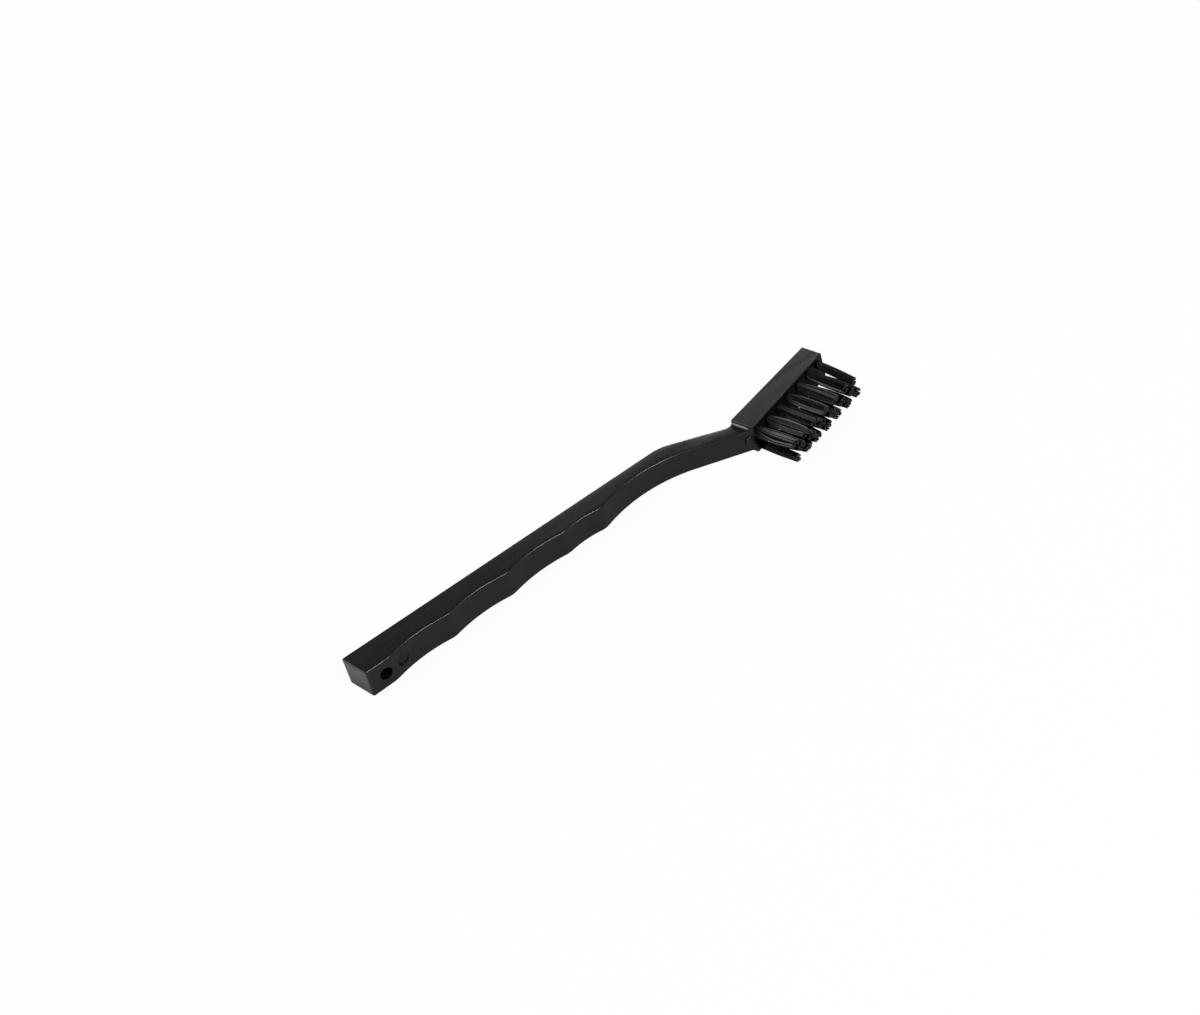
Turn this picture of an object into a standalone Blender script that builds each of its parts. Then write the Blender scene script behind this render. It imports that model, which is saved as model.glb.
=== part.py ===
"""Anti-static hand brush: one moulded handle with neck and head, and stapled bristle tufts.

The brush lies on its flat side. X runs along the handle from the hanging end to the head,
the bristles point to -Y, and Z is across the handle. Sizes are metres.
"""

import math

import bmesh
import bpy
from mathutils import Matrix, Vector

MM = 0.001

# Grip: a straight back edge, and an underside with a flat, four finger grooves and five crests
END_WIDTH = 10.1 * MM
END_DEPTH = 10.6 * MM
END_SLANT = 1.9 * MM
END_BACK_ROUND = 0.8 * MM
END_FRONT_ROUND = 0.6 * MM
FLAT_LENGTH = 8.7 * MM
GROOVE_LENGTH = 22.0 * MM
GROOVE_SAGITTA = 1.36 * MM
SHORT_GROOVE_LENGTH = 13.8 * MM
SHORT_GROOVE_SAGITTA = 0.85 * MM
LONG_GROOVES = 3
CREST_1_DEPTH = 10.4 * MM
CREST_2_DEPTH = 9.35 * MM
CREST_3_DEPTH = 8.6 * MM
CREST_4_DEPTH = 7.62 * MM
CREST_5_DEPTH = 8.0 * MM
CREST_ROUND = 1.5 * MM
EDGE_ROUND = 0.4 * MM

# Neck: a long concave sweep under it, a shoulder bend and a hollow corner behind it
SWEEP_RADIUS = 45.0 * MM
THINNEST_DEPTH = 5.0 * MM
NECK_UNDER_ANGLE = math.radians(24.0)
NECK_BACK_ANGLE = math.radians(26.1)
NECK_WIDTH = 7.9 * MM
NECK_UNDER_RUN = 19.6 * MM
SHOULDER_ROUND = 2.7 * MM
CORNER_RADIUS = 2.9 * MM
CORNER_RISE = 1.57 * MM

# Head: a block that tilts back up, a little deeper at the neck than at the tip
HEAD_LENGTH = 36.7 * MM
HEAD_WIDTH = 10.1 * MM
HEAD_NEAR_DEPTH = 8.2 * MM
HEAD_TIP_DEPTH = 7.0 * MM
HEAD_TILT = math.radians(16.3)
HEAD_EDGE_ROUND = 0.4 * MM
HEAD_LIP = 0.3 * MM
NECK_ROOTING = 4.6 * MM
LEDGE_RUN = 1.4 * MM
LEDGE_RISE = 0.78 * MM
LEDGE_LAP = 0.1 * MM

# Hanging hole, and the round witness marks that the mould's ejector pins leave
HANGING_BORE = 4.2 * MM
HANGING_HOLE_X = 8.0 * MM
PIN_DIAMETER = 4.1 * MM
GRIP_PIN_FROM_CREST = 4.1 * MM
GRIP_PIN_RISE = 0.4 * MM
NECK_PIN_BEFORE_FACE = 1.15 * MM
NECK_PIN_SET_IN = 0.45 * MM
PIN_REACH = 2.5 * MM
PIN_OVERLAP = 0.2 * MM
PIN_CLEARANCE = 0.05 * MM

# Tuft holes: two outer columns with a staggered middle column between them
TUFT_PITCH = 5.38 * MM
FIRST_TUFT = 1.6 * MM
HOLE_DIAMETER = 2.7 * MM
HOLE_DEPTH = 4.4 * MM
SIDE_WALL = 0.8 * MM
TIP_WALL = 0.65 * MM
CUT_OVERRUN = 3.0 * MM

# Bristles: square strands round the tuft's axis, which lean to the neck and splay a little
BRISTLE_LENGTH = 15.0 * MM
FIRST_LEAN = 0.7 * MM
LEAN_GAIN = 0.05 * MM
COLUMN_SPLAY = 0.05 * MM
TUFT_SPLAY = 0.5 * MM
STRAND_SIDE = 0.28 * MM
STRAND_GAP = 0.03 * MM
STRAND_EDGE = 0.05 * MM
STRAND_ROOTING = 0.25 * MM
TRIM_RAGGEDNESS = 0.15 * MM
TRIM_BEAT = 2.3

# Roots: each tuft's packed root is held by a flat metal anchor driven across the hole
ROOT_CLEARANCE = 0.18 * MM
ROOT_SETBACK = 0.5 * MM
ANCHOR_LENGTH = 3.3 * MM
ANCHOR_HEIGHT = 1.5 * MM
ANCHOR_THICKNESS = 0.32 * MM
ANCHOR_LIFT = 1.4 * MM
ANCHOR_CLEARANCE = 0.12 * MM

# How finely curved shapes are cut, and how near two points of an outline are one
GROOVE_STEPS = 12
SHORT_GROOVE_STEPS = 8
SWEEP_STEPS = 18
CORNER_STEPS = 8
SOFT_STEPS = 4
LEDGE_STEPS = 3
ROOT_SIDES = 16
BORE_SIDES = 32
SAME_POINT = 0.01 * MM


def polar(length, angle):
    """A plane vector of a length, at an angle from +X."""
    return Vector((math.cos(angle), math.sin(angle))) * length


def line_crossing(point_a, angle_a, point_b, angle_b):
    """Where two lines of the side view cross."""
    along_a = polar(1.0, angle_a)
    along_b = polar(1.0, angle_b)
    gap = point_b - point_a
    turn = along_a.x * along_b.y - along_a.y * along_b.x
    return point_a + along_a * ((gap.x * along_b.y - gap.y * along_b.x) / turn)


def groove_circle(start, end, sagitta):
    """Centre and radius of the arc from start to end that is hollowed towards +Y."""
    chord = end - start
    radius = chord.length_squared / (8 * sagitta) + sagitta / 2
    side = Vector((-chord.y, chord.x)).normalized()
    return (start + end) / 2 - side * (radius - sagitta), radius


def arc_points(centre, start, end, steps):
    """Points of the arc about a centre from start to end; the end is left out."""
    first = start - centre
    last = end - centre
    start_angle = math.atan2(first.y, first.x)
    turn = math.atan2(last.y, last.x) - start_angle
    return [centre + polar(first.length, start_angle + turn * step / steps) for step in range(steps)]


def groove(start, end, sagitta, steps):
    """Points of a finger groove between two crests; the end is left out."""
    centre, _ = groove_circle(start, end, sagitta)
    return arc_points(centre, start, end, steps)


def soften(before, corner, after, reach):
    """Points of a small curve that takes the place of an outline's corner."""
    start = corner + (before - corner).normalized() * reach
    end = corner + (after - corner).normalized() * reach
    points = []
    for step in range(SOFT_STEPS + 1):
        t = step / SOFT_STEPS
        points.append(start * (1 - t) ** 2 + corner * (2 * t * (1 - t)) + end * t ** 2)
    return points


class SideView:
    """Places of the side view that more than one piece is worked out from."""

    def __init__(self):
        self.end_back = Vector((0.0, 0.0))
        self.end_front = Vector((END_SLANT, -END_DEPTH))
        depths = (CREST_1_DEPTH, CREST_2_DEPTH, CREST_3_DEPTH, CREST_4_DEPTH, CREST_5_DEPTH)
        crest_x = END_SLANT + FLAT_LENGTH
        self.crests = []
        for number, depth in enumerate(depths):
            self.crests.append(Vector((crest_x, -depth)))
            crest_x += GROOVE_LENGTH if number < LONG_GROOVES else SHORT_GROOVE_LENGTH

        # The sweep is a circle through the last crest, whose top is the neck's thinnest place
        last = self.crests[-1]
        drop = -THINNEST_DEPTH - last.y
        reach = math.sqrt(SWEEP_RADIUS ** 2 - (SWEEP_RADIUS - drop) ** 2)
        self.sweep_centre = Vector((last.x + reach, -THINNEST_DEPTH - SWEEP_RADIUS))
        self.sweep_end = self.sweep_centre + polar(SWEEP_RADIUS, math.pi / 2 - NECK_UNDER_ANGLE)

        # The head's four corners, from the bristle face's corner at the neck
        self.along = polar(1.0, HEAD_TILT)
        self.out = polar(1.0, HEAD_TILT - math.pi / 2)
        self.face_near = self.sweep_end + polar(NECK_UNDER_RUN, -NECK_UNDER_ANGLE)
        self.face_tip = self.face_near + self.along * HEAD_LENGTH
        self.back_near = self.face_near - self.out * HEAD_NEAR_DEPTH
        self.back_tip = self.face_tip - self.out * HEAD_TIP_DEPTH

        # The neck's back line passes below the head's back corner, and its hollow corner climbs to it
        self.corner_top = self.back_near + self.out * HEAD_EDGE_ROUND
        corner_turn = math.acos(1 - CORNER_RISE / CORNER_RADIUS)
        square = -NECK_BACK_ANGLE - math.pi / 2
        self.corner_centre = self.corner_top - polar(CORNER_RADIUS, square + corner_turn)
        self.corner_start = self.corner_centre + polar(CORNER_RADIUS, square)
        self.shoulder = line_crossing(self.end_back, 0.0, self.corner_start, -NECK_BACK_ANGLE)

    def face_point(self, distance):
        """A point of the bristle face, at a distance from its corner at the neck."""
        return self.face_near + self.along * distance


def grip_and_neck_outline(view):
    """The handle's outline in the side view, from the hanging end round to the shoulder."""
    points = []
    points += soften(view.shoulder, view.end_back, view.end_front, END_BACK_ROUND)
    points += soften(view.end_back, view.end_front, view.crests[0], END_FRONT_ROUND)

    curves = []
    for number, (start, end) in enumerate(zip(view.crests, view.crests[1:])):
        if number < LONG_GROOVES:
            curves.append(groove(start, end, GROOVE_SAGITTA, GROOVE_STEPS))
        else:
            curves.append(groove(start, end, SHORT_GROOVE_SAGITTA, SHORT_GROOVE_STEPS))
    sweep = arc_points(view.sweep_centre, view.crests[-1], view.sweep_end, SWEEP_STEPS)
    curves.append(sweep + [view.sweep_end])

    before = view.end_front
    for curve in curves:
        points += soften(before, curve[0], curve[1], CREST_ROUND)
        points += curve[1:]
        before = curve[-1]

    # Inside the head the outline only has to stay clear of the head's own faces
    lip = view.face_near - view.out * HEAD_LIP
    inside = view.along * NECK_ROOTING
    points.append(lip)
    points.append(lip + inside)
    points.append(view.corner_top + view.out * HEAD_EDGE_ROUND + inside)
    points += arc_points(view.corner_centre, view.corner_top, view.corner_start, CORNER_STEPS)
    points.append(view.corner_start)
    points += soften(view.corner_start, view.shoulder, view.end_back, SHOULDER_ROUND)
    return points


def head_outline(view):
    """The head block's four corners in the side view."""
    return [view.face_near, view.face_tip, view.back_tip, view.back_near]


def new_collection(name):
    collection = bpy.data.collections.new(name)
    bpy.context.scene.collection.children.link(collection)
    return collection


def new_object(name, mesh, collection):
    thing = bpy.data.objects.new(name, mesh)
    collection.objects.link(thing)
    return thing


def as_cutter(thing):
    """Keeps an object out of the pictures, because it only cuts or joins."""
    thing.hide_render = True
    thing.display_type = "WIRE"
    return thing


def mesh_from_bmesh(name, bm):
    mesh = bpy.data.meshes.new(name)
    bm.to_mesh(mesh)
    bm.free()
    return mesh


def slab_from_outline(name, points, thickness, collection):
    """A mesh object of a flat outline, filled and as thick as asked, centred on the XY plane."""
    curve = bpy.data.curves.new(name, "CURVE")
    curve.dimensions = "2D"
    curve.fill_mode = "BOTH"
    curve.extrude = thickness / 2
    spline = curve.splines.new("POLY")
    spline.points.add(len(points) - 1)
    spline.use_cyclic_u = True
    for spline_point, place in zip(spline.points, points):
        spline_point.co = (place.x, place.y, 0.0, 1.0)
    guide = new_object(name + "_guide", curve, collection)
    depsgraph = bpy.context.evaluated_depsgraph_get()
    mesh = bpy.data.meshes.new_from_object(guide.evaluated_get(depsgraph))
    bpy.data.objects.remove(guide)
    bm = bmesh.new()
    bm.from_mesh(mesh)
    bmesh.ops.remove_doubles(bm, verts=bm.verts, dist=SAME_POINT)
    bmesh.ops.dissolve_limit(bm, angle_limit=math.radians(0.3), verts=bm.verts, edges=bm.edges)
    bmesh.ops.recalc_face_normals(bm, faces=bm.faces)
    bm.to_mesh(mesh)
    bm.free()
    mesh.materials.clear()
    return new_object(name, mesh, collection)


def add_bevel(thing, width, angle):
    bevel = thing.modifiers.new("edge_round", "BEVEL")
    bevel.width = width
    bevel.segments = 2
    bevel.limit_method = "ANGLE"
    bevel.angle_limit = math.radians(angle)
    bevel.use_clamp_overlap = False


def add_boolean(thing, other, operation):
    boolean = thing.modifiers.new(operation.lower() + "_" + other.name, "BOOLEAN")
    boolean.operation = operation
    boolean.solver = "EXACT"
    boolean.object = other


def face_matrix(view, distance, column, depth):
    """A place on the bristle face whose own +Z points out of the face and +X along the head."""
    place = view.face_point(distance) - view.out * depth
    along = Vector((view.along.x, view.along.y, 0.0))
    out = Vector((view.out.x, view.out.y, 0.0))
    across = out.cross(along)
    turn = Matrix((along, across, out)).transposed().to_4x4()
    return Matrix.Translation((place.x, place.y, column)) @ turn


def tuft_layout():
    """Every tuft's name, distance along the face, place across it, and its tip's lean both ways."""
    layout = []
    column = HEAD_WIDTH / 2 - SIDE_WALL - HOLE_DIAMETER / 2
    room = HEAD_LENGTH - TIP_WALL - HOLE_DIAMETER / 2 - FIRST_TUFT
    for column_name, side, stagger in (("upper", 1, 0.0), ("middle", 0, 0.5), ("lower", -1, 0.0)):
        count = math.floor(room / TUFT_PITCH - stagger) + 1
        for number in range(count):
            step = number + stagger
            name = "{}_{}".format(column_name, number + 1)
            lean = -FIRST_LEAN - LEAN_GAIN * step
            layout.append((name, FIRST_TUFT + TUFT_PITCH * step, side * column, lean, side * COLUMN_SPLAY))
    return layout


def add_cylinder(bm, matrix, diameter, length, sides):
    """A cylinder whose base stands at the matrix and which rises along its +Z."""
    lift = Matrix.Translation((0.0, 0.0, length / 2))
    bmesh.ops.create_cone(
        bm,
        cap_ends=True,
        segments=sides,
        radius1=diameter / 2,
        radius2=diameter / 2,
        depth=length,
        matrix=matrix @ lift,
    )


def add_box(bm, matrix, size):
    bmesh.ops.create_cube(bm, size=1.0, matrix=matrix @ Matrix.Diagonal((size[0], size[1], size[2], 1.0)))


def width_at(view, place):
    """The handle's width: it narrows evenly to the neck, and a hollow ledge widens it at the head."""
    share = min(max(place.x / view.face_near.x, 0.0), 1.0)
    width = END_WIDTH + (NECK_WIDTH - END_WIDTH) * share
    below_top = (view.face_near.to_3d() - place).dot(view.along.to_3d()) + LEDGE_LAP
    if below_top < LEDGE_RUN:
        climb = 1 - max(below_top, 0.0) / LEDGE_RUN
        width += 2 * LEDGE_RISE * (1 - math.sqrt(1 - climb ** 2))
    return width


def shape_width(view, handle):
    """Cuts the outline slab across where the ledge bends, and gives each place its width."""
    bm = bmesh.new()
    bm.from_mesh(handle.data)
    for step in range(LEDGE_STEPS + 1):
        place = view.face_point(LEDGE_LAP - LEDGE_RUN * step / LEDGE_STEPS)
        everything = list(bm.verts) + list(bm.edges) + list(bm.faces)
        bmesh.ops.bisect_plane(bm, geom=everything, plane_co=place.to_3d(), plane_no=view.along.to_3d())
    for vertex in bm.verts:
        middle = Vector((vertex.co.x, vertex.co.y, 0.0))
        vertex.co.z = math.copysign(width_at(view, middle) / 2, vertex.co.z)
    bm.to_mesh(handle.data)
    bm.free()


def first_groove_height(view, x):
    """The underside's height at a place of the first groove."""
    centre, radius = groove_circle(view.crests[0], view.crests[1], GROOVE_SAGITTA)
    return centre.y + math.sqrt(radius ** 2 - (x - centre.x) ** 2)


def build_pins(view, cutters):
    """The pins' marks: material up to each pin's flat end, and nothing below it."""
    under = Matrix.Rotation(math.pi / 2, 4, "X")
    grip_x = view.crests[0].x + GRIP_PIN_FROM_CREST
    grip_y = first_groove_height(view, grip_x + PIN_DIAMETER / 2) - GRIP_PIN_RISE
    neck_x = view.face_near.x - NECK_PIN_BEFORE_FACE
    neck_y = view.face_near.y + NECK_PIN_SET_IN
    filled = bmesh.new()
    cleared = bmesh.new()
    for x, y in ((grip_x, grip_y), (neck_x, neck_y)):
        above = Matrix.Translation((x, y + PIN_REACH, 0.0)) @ under
        add_cylinder(filled, above, PIN_DIAMETER, PIN_REACH + PIN_OVERLAP, BORE_SIDES)
        below = Matrix.Translation((x, y, 0.0)) @ under
        add_cylinder(cleared, below, PIN_DIAMETER + 2 * PIN_CLEARANCE, PIN_REACH, BORE_SIDES)
    pads = as_cutter(new_object("pin_pads", mesh_from_bmesh("pin_pads", filled), cutters))
    ends = as_cutter(new_object("pin_ends", mesh_from_bmesh("pin_ends", cleared), cutters))
    return pads, ends


def build_handle(view, parts, cutters):
    """Grip, neck and head in one moulding, with its hanging bore, pin marks and tuft holes."""
    handle = slab_from_outline("handle", grip_and_neck_outline(view), END_WIDTH, parts)
    shape_width(view, handle)
    add_bevel(handle, EDGE_ROUND, 50.0)

    head = as_cutter(slab_from_outline("head_block", head_outline(view), HEAD_WIDTH, cutters))
    add_bevel(head, HEAD_EDGE_ROUND, 50.0)
    add_boolean(handle, head, "UNION")
    pads, pin_ends = build_pins(view, cutters)
    add_boolean(handle, pads, "UNION")
    add_boolean(handle, pin_ends, "DIFFERENCE")

    bm = bmesh.new()
    bore_place = Matrix.Translation((HANGING_HOLE_X, CUT_OVERRUN, 0.0))
    through = bore_place @ Matrix.Rotation(math.pi / 2, 4, "X")
    add_cylinder(bm, through, HANGING_BORE, END_DEPTH + 2 * CUT_OVERRUN, BORE_SIDES)
    hanging = as_cutter(new_object("hanging_bore", mesh_from_bmesh("hanging_bore", bm), cutters))
    add_boolean(handle, hanging, "DIFFERENCE")

    holes = bmesh.new()
    slots = bmesh.new()
    slot_size = (
        ANCHOR_LENGTH + 2 * ANCHOR_CLEARANCE,
        ANCHOR_THICKNESS + 2 * ANCHOR_CLEARANCE,
        ANCHOR_HEIGHT + 2 * ANCHOR_CLEARANCE,
    )
    for _, distance, column, _, _ in tuft_layout():
        bottom = face_matrix(view, distance, column, HOLE_DEPTH)
        add_cylinder(holes, bottom, HOLE_DIAMETER, HOLE_DEPTH + CUT_OVERRUN, ROOT_SIDES)
        add_box(slots, bottom @ Matrix.Translation((0.0, 0.0, ANCHOR_LIFT)), slot_size)
    hole_cutter = as_cutter(new_object("tuft_holes", mesh_from_bmesh("tuft_holes", holes), cutters))
    slot_cutter = as_cutter(new_object("anchor_slots", mesh_from_bmesh("anchor_slots", slots), cutters))
    add_boolean(handle, hole_cutter, "DIFFERENCE")
    add_boolean(handle, slot_cutter, "DIFFERENCE")
    return handle


def root_radius():
    """The packed root's radius, in its hole with its clearance."""
    return HOLE_DIAMETER / 2 - ROOT_CLEARANCE


def strand_places():
    """Where a tuft's strands stand: in rings of six more each, so that neighbours stay apart."""
    reach = root_radius() - STRAND_SIDE / 2 - STRAND_EDGE
    least_step = STRAND_SIDE * (1 + math.sqrt(3)) / 2 + STRAND_GAP
    rings = max(math.floor(reach / least_step), 1)
    places = [(0.0, 0.0)]
    for ring in range(1, rings + 1):
        for number in range(6 * ring):
            places.append((ring / rings, math.pi * (number + 0.5 * ring) / (3 * ring)))
    return [(share * reach, share * TUFT_SPLAY, angle) for share, angle in places]


def build_strands(name, lean_along, lean_across, cutters):
    """Square strands that splay from the root to the trimmed end, with ends of unlike lengths."""
    bm = bmesh.new()
    root_height = HOLE_DEPTH - ROOT_SETBACK - STRAND_ROOTING
    for number, (radius, splay, angle) in enumerate(strand_places()):
        root = polar(radius, angle).to_3d()
        root.z = root_height
        tip = polar(radius + splay, angle).to_3d()
        trim = math.sin(TRIM_BEAT * number) * TRIM_RAGGEDNESS
        tip += Vector((lean_along, lean_across, HOLE_DEPTH + BRISTLE_LENGTH + trim))
        axis = tip - root
        turn = axis.to_track_quat("Z", "Y").to_matrix().to_4x4()
        spin = Matrix.Rotation(angle + math.pi / 4, 4, "Z")
        bmesh.ops.create_cone(
            bm,
            cap_ends=True,
            segments=4,
            radius1=STRAND_SIDE / math.sqrt(2),
            radius2=STRAND_SIDE / math.sqrt(2),
            depth=axis.length,
            matrix=Matrix.Translation((root + tip) / 2) @ turn @ spin,
        )
    return as_cutter(new_object(name, mesh_from_bmesh(name, bm), cutters))


def build_root_slot(cutters):
    """The slot right through a root that its anchor lies in."""
    bm = bmesh.new()
    size = (
        2 * root_radius() + CUT_OVERRUN,
        ANCHOR_THICKNESS + 2 * ANCHOR_CLEARANCE,
        ANCHOR_HEIGHT + 2 * ANCHOR_CLEARANCE,
    )
    add_box(bm, Matrix.Translation((0.0, 0.0, ANCHOR_LIFT)), size)
    return as_cutter(new_object("root_slot", mesh_from_bmesh("root_slot", bm), cutters))


def finished_mesh(thing, name):
    """The object's mesh with its modifiers applied."""
    depsgraph = bpy.context.evaluated_depsgraph_get()
    mesh = bpy.data.meshes.new_from_object(thing.evaluated_get(depsgraph))
    mesh.name = name
    return mesh


def build_tuft(name, lean_along, lean_across, root_slot, parts, cutters):
    """One tuft about its own hole's bottom: a packed root with a slot for its anchor, and strands."""
    bm = bmesh.new()
    base = Matrix.Translation((0.0, 0.0, ROOT_CLEARANCE))
    add_cylinder(bm, base, 2 * root_radius(), HOLE_DEPTH - ROOT_SETBACK - ROOT_CLEARANCE, ROOT_SIDES)
    raw = as_cutter(new_object(name + "_root", mesh_from_bmesh(name + "_root", bm), cutters))
    add_boolean(raw, root_slot, "DIFFERENCE")
    add_boolean(raw, build_strands(name + "_strands", lean_along, lean_across, cutters), "UNION")
    return new_object(name, finished_mesh(raw, name), parts)


def build_anchor_mesh():
    """A short flat piece of wire, which lies across its tuft's hole."""
    bm = bmesh.new()
    add_box(bm, Matrix.Identity(4), (ANCHOR_LENGTH, ANCHOR_THICKNESS, ANCHOR_HEIGHT))
    return mesh_from_bmesh("anchor", bm)


def new_material(name, color, roughness, metallic):
    material = bpy.data.materials.new(name)
    material.use_nodes = True
    shader = material.node_tree.nodes["Principled BSDF"]
    shader.inputs["Base Color"].default_value = (*color, 1.0)
    shader.inputs["Roughness"].default_value = roughness
    shader.inputs["Metallic"].default_value = metallic
    return material


def shade(thing, material, angle):
    thing.data.materials.clear()
    thing.data.materials.append(material)
    thing.data.shade_smooth()
    thing.data.set_sharp_from_angle(angle=math.radians(angle))


def ground_offset(parts):
    """The move that stands the brush on Z = 0, with the middle of its box at X = 0 and Y = 0."""
    bpy.context.view_layer.update()
    depsgraph = bpy.context.evaluated_depsgraph_get()
    low = Vector((math.inf, math.inf, math.inf))
    high = -low
    for thing in parts.objects:
        evaluated = thing.evaluated_get(depsgraph)
        for vertex in evaluated.data.vertices:
            place = evaluated.matrix_world @ vertex.co
            low = Vector(map(min, low, place))
            high = Vector(map(max, high, place))
    return Vector((-(low.x + high.x) / 2, -(low.y + high.y) / 2, -low.z))


def main():
    for thing in list(bpy.data.objects):
        bpy.data.objects.remove(thing)
    parts = new_collection("anti_static_brush")
    cutters = new_collection("cutters")
    plastic = new_material("conductive_plastic", (0.022, 0.022, 0.023), 0.42, 0.0)
    nylon = new_material("conductive_nylon", (0.012, 0.012, 0.013), 0.38, 0.0)
    wire = new_material("anchor_wire", (0.62, 0.60, 0.56), 0.3, 1.0)

    view = SideView()
    handle = build_handle(view, parts, cutters)
    shade(handle, plastic, 35.0)
    root_slot = build_root_slot(cutters)
    anchor_mesh = build_anchor_mesh()

    pieces = [handle]
    for place, distance, column, lean, splay in tuft_layout():
        # The face's own across direction runs against the column's, because it is seen from outside
        hole_bottom = face_matrix(view, distance, column, HOLE_DEPTH)
        lean_across = splay * hole_bottom.to_3x3().col[1].z
        tuft = build_tuft("tuft_" + place, lean, lean_across, root_slot, parts, cutters)
        tuft.matrix_world = hole_bottom
        shade(tuft, nylon, 35.0)
        anchor = new_object("anchor_" + place, anchor_mesh.copy(), parts)
        anchor.matrix_world = hole_bottom @ Matrix.Translation((0.0, 0.0, ANCHOR_LIFT))
        shade(anchor, wire, 35.0)
        pieces += [tuft, anchor]

    placing = bpy.data.objects.new("brush_origin", None)
    placing.location = ground_offset(parts)
    parts.objects.link(placing)
    bpy.context.view_layer.update()
    for piece in pieces + list(cutters.objects):
        piece.parent = placing


main()
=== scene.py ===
"""Looks of an anti-static hand brush: a one-piece moulded handle and stapled bristle tufts.

The brush lies on its side. X runs from the hanging end to the head, the bristles point to -Y
and Z is across the handle. Sizes are metres.
"""

import math
import random

import bmesh
import bpy
from bpy.props import FloatProperty, FloatVectorProperty, IntProperty, PointerProperty
from bpy.types import Operator, Panel, PropertyGroup
from mathutils import Matrix, Vector


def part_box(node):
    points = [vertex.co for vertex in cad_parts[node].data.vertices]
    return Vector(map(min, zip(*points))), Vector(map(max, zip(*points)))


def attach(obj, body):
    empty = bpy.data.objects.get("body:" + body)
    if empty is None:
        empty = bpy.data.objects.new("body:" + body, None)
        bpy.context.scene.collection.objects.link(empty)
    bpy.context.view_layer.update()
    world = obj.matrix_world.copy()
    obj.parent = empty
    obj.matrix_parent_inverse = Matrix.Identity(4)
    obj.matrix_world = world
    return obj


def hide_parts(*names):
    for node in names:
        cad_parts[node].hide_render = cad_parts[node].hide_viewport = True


bl_info = {
    "name": "Anti-static Brush",
    "version": (1, 0, 0),
    "blender": (4, 5, 0),
    "location": "3D View > Sidebar > Brush",
    "description": "Models the handle, the bristle tufts and the stage of an anti-static brush",
    "category": "Object",
}

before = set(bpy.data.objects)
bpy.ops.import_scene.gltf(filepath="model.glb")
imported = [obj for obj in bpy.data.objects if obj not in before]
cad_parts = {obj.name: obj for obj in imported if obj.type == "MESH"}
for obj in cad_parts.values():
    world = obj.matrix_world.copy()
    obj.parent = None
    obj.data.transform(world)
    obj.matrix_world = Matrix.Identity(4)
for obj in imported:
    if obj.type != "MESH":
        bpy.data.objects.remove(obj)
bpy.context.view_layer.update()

MM = 0.001
PHOTO_WIDTH = 1200
SENSOR_WIDTH = 36.0
SAME_POINT = 0.002 * MM

# How finely curved shapes are drawn
CREST_STEPS = 6
GROOVE_STEPS = 24
CORNER_STEPS = 12
LEDGE_STEPS = 7
SHOULDER_SEGMENTS = 8
END_SEGMENTS = 5
EDGE_SEGMENTS = 4
PIN_SEGMENTS = 3
BORE_SIDES = 64
PIN_SIDES = 48
HOLE_SIDES = 32
BRISTLE_SIDES = 6
BRISTLE_CUTS = 5

# From which angle in degrees an edge is rounded, and from which it is shaded as sharp
BEVEL_ANGLE = 50.0
SMOOTH_ANGLE = 35.0
BRISTLE_ANGLE = 50.0

# How far helper shapes reach into or past the shapes that they join or cut
NECK_IN_HEAD = 4.6 * MM
NECK_ABOVE_FACE = 0.3 * MM
LEDGE_LAP = 0.05 * MM
PIN_REACH = 2.5 * MM
CUT_OVERRUN = 3.0 * MM

# Tufts in each of the two outer columns
OUTER_TUFTS = 7

# Where a tuft parts and how far out its clumps stand, as shares of its radius
PART_LINE = (-0.55, -0.10)
CLUMP_RING = 0.66

# How far the clumps stray round that ring, as a share of their spacing
CLUMP_STRAY = 0.6

# How unlike the clumps' and the single bristles' lengths are, as shares of their raggedness
CLUMP_LENGTHS = (-1.0, 0.8)
BRISTLE_LENGTHS = (-0.5, 0.5)

# How much of a bristle's tone its clump gives
CLUMP_TONE = 0.55

# From which share of its length along Z a normal or an edge counts as pointing that way
MOSTLY = 0.5

# The range of a noise texture in which most of its values lie
NOISE_SPAN = (0.3, 0.7)

# Painted light and shade in the floor's glow that reflections show: from where to where along X in
# metres it changes, and from which level to which. The hanging end mirrors the first stretch, lit by
# painted light, and painted shade darkens the last stretch, under the tufts.
PAINTED_FLOOR_GLOW = ((-0.094, -0.088, 0.85, 0.3), (0.055, 0.065, 1.0, 0.3))

# Each lamp's place and width in metres and its power in watts
LAMPS = {
    "key_softbox": ((0.26, -1.02, 1.06), 0.5, 14.0),
    "left_softbox": ((-0.95, 0.6, 1.0), 0.5, 4.5),
    "top_softbox": ((-0.60, 0.66, 1.20), 0.4, 3.3),
    "back_softbox": ((0.91, 1.15, 0.31), 0.4, 14.0),
}

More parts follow.
